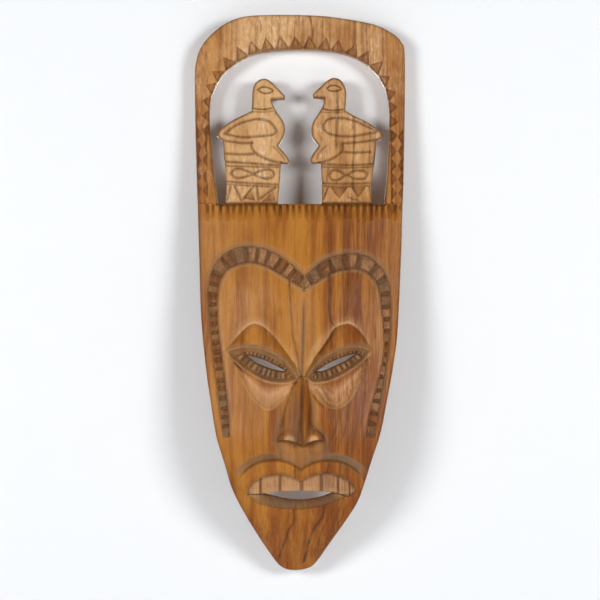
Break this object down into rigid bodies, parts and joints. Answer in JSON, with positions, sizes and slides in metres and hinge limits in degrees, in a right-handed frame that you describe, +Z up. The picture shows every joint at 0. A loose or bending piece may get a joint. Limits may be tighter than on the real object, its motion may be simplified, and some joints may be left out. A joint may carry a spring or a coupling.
{
  "type": "carved wooden wall mask",
  "caption": "Carved wooden wall mask: a long pointed face with a bead-carved border, under an open hoop that holds two facing birds on plinths.",
  "frame": {"origin": "middle of the flat under the hoop, where the nail bears, 7 mm out from the wall", "axes": "+X to the right seen from the front, +Y back into the wall, +Z up; the face looks along -Y and the chin points down"},
  "size_m": [0.1119, 0.0502, 0.2946],
  "materials": {
    "polished_wood": "waxed, satin",
    "pale_wood": "waxed, satin, worn",
    "dusty_wood": "unpolished, dusty"
  },
  "bodies": {
    "root": {"hoop_arch": "pale_wood", "rail_left": "pale_wood", "rail_right": "pale_wood", "bird_left": "pale_wood", "bird_right": "pale_wood", "plinth_left": "pale_wood", "plinth_right": "pale_wood", "crown_panel": "polished_wood", "margin_left": "polished_wood", "margin_right": "polished_wood", "bead_band_left": "dusty_wood", "bead_band_right": "dusty_wood", "brow_left": "polished_wood", "brow_right": "polished_wood", "eye_left": "dusty_wood", "eye_right": "dusty_wood", "cheek_left": "polished_wood", "cheek_right": "polished_wood", "nose": "polished_wood", "upper_lip": "polished_wood", "teeth": "dusty_wood", "lower_lip": "dusty_wood", "chin": "polished_wood"}
  },
  "joints": []
}
